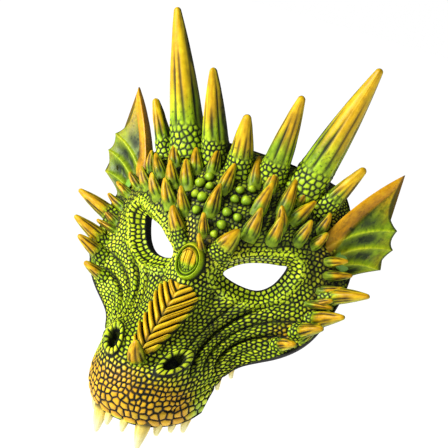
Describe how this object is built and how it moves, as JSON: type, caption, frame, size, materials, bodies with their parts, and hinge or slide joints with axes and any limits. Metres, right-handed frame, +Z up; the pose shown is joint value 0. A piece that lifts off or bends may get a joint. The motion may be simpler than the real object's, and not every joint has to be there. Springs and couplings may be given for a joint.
{
  "type": "dragon half-mask",
  "caption": "Moulded foam half-mask of a dragon's brow, cheeks and upper snout, with crown horns, ear fins, spikes, teeth, eye openings, snap buttons and an elastic head strap.",
  "frame": {"origin": "the wearer's nasion, just behind the bridge of the mask", "axes": "+Z up as worn, the mask faces -Y, +X is the wearer's left"},
  "size_m": [0.2102, 0.1944, 0.2587],
  "materials": {
    "foam_skin": "satin painted soft foam, dark wash between scales",
    "horn_foam": "satin painted soft foam, green fading to orange-yellow",
    "fin_foam": "satin painted soft foam",
    "spike_foam": "satin painted soft foam",
    "tooth_foam": "satin painted soft foam, cream",
    "snap_plastic": "smooth green plastic",
    "strap_elastic": "black woven elastic"
  },
  "bodies": {
    "mask": {"face_shell": "foam_skin", "centre_horn": "horn_foam", "inner_horn_l": "horn_foam", "tall_horn_l": "horn_foam", "outer_horn_l": "horn_foam", "inner_horn_r": "horn_foam", "tall_horn_r": "horn_foam", "outer_horn_r": "horn_foam", "ear_fin_l": "fin_foam", "ear_fin_r": "fin_foam", "nose_horn": "horn_foam", "brow_spike_l": "spike_foam", "cheek_spike_1_l": "spike_foam", "cheek_spike_2_l": "spike_foam", "cheek_spike_3_l": "spike_foam", "cheek_spike_4_l": "spike_foam", "brow_spike_r": "spike_foam", "cheek_spike_1_r": "spike_foam", "cheek_spike_2_r": "spike_foam", "cheek_spike_3_r": "spike_foam", "cheek_spike_4_r": "spike_foam", "bridge_boss": "spike_foam", "snout_ridge": "spike_foam", "fang_l": "tooth_foam", "side_tooth_1_l": "tooth_foam", "side_tooth_2_l": "tooth_foam", "side_tooth_3_l": "tooth_foam", "front_tooth_l": "tooth_foam", "rear_tooth_1_l": "tooth_foam", "rear_tooth_2_l": "tooth_foam", "fang_r": "tooth_foam", "side_tooth_1_r": "tooth_foam", "side_tooth_2_r": "tooth_foam", "side_tooth_3_r": "tooth_foam", "front_tooth_r": "tooth_foam", "rear_tooth_1_r": "tooth_foam", "rear_tooth_2_r": "tooth_foam"},
    "snap_l": {"snap_cap_l": "snap_plastic", "snap_back_l": "snap_plastic"},
    "snap_r": {"snap_cap_r": "snap_plastic", "snap_back_r": "snap_plastic"},
    "strap": {"elastic_strap": "strap_elastic"}
  },
  "joints": [
    {"name": "strap_swing", "type": "hinge", "parent": "mask", "child": "strap", "pos_m": [0, 0.02892, 0.02186], "axis": [1, 0, 0], "range_deg": [-12, 12]},
    {"name": "snap_turn_l", "type": "hinge", "parent": "mask", "child": "snap_l", "pos_m": [0.07792, 0.02468, 0.02424], "axis": [0.7095, -0.6143, 0.3454], "continuous": true},
    {"name": "snap_turn_r", "type": "hinge", "parent": "mask", "child": "snap_r", "pos_m": [-0.07792, 0.02468, 0.02424], "axis": [-0.7095, -0.6143, 0.3454], "continuous": true}
  ]
}
